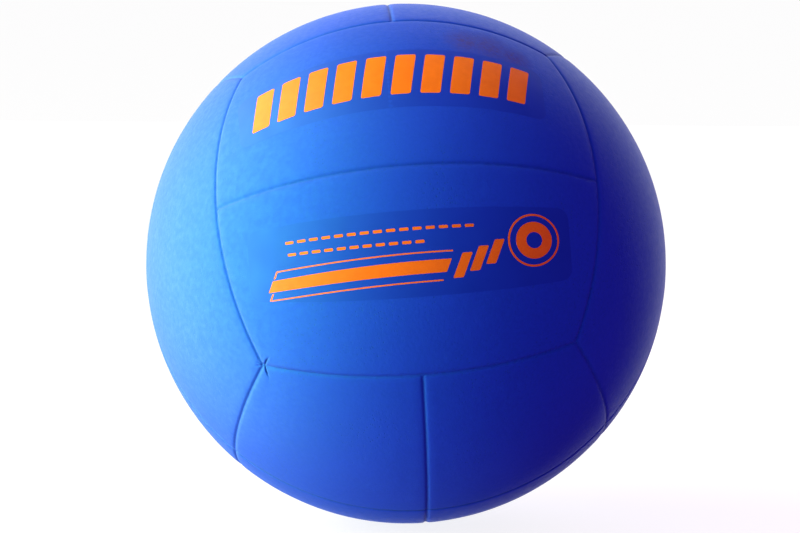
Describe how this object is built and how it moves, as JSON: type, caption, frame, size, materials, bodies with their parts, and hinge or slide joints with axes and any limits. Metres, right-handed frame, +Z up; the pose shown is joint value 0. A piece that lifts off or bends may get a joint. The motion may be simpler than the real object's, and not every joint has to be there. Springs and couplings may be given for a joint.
{
  "type": "moulded rubber ball",
  "caption": "Hollow moulded rubber sports ball with split-face cover panels over a thread-wound bladder, a needle valve and two printed films.",
  "frame": {"origin": "centre of the ball", "axes": "+Z up, through the centre from the spot the ball lies on; -Y towards the viewer, with the split front face with the two prints looking forwards and up; +X to the viewer's right"},
  "size_m": [0.21, 0.21, 0.21],
  "materials": {
    "cover_rubber": "satin, finely grained",
    "carcass_rubber": "matte",
    "winding_thread": "wound thread",
    "bladder_rubber": "smooth",
    "valve_rubber": "matte",
    "plug_rubber": "satin",
    "print_film": "smooth, with orange ink"
  },
  "bodies": {
    "root": {"front_upper_panel": "cover_rubber", "front_lower_panel": "cover_rubber", "back_upper_panel": "cover_rubber", "back_lower_panel": "cover_rubber", "top_left_panel": "cover_rubber", "top_right_panel": "cover_rubber", "bottom_left_panel": "cover_rubber", "bottom_right_panel": "cover_rubber", "left_front_panel": "cover_rubber", "left_back_panel": "cover_rubber", "right_front_panel": "cover_rubber", "right_back_panel": "cover_rubber", "carcass_layer": "carcass_rubber", "thread_winding": "winding_thread", "bladder": "bladder_rubber", "valve_patch": "valve_rubber", "valve_housing": "valve_rubber", "valve_plug": "plug_rubber", "upper_print_film": "print_film", "lower_print_film": "print_film"}
  },
  "joints": []
}
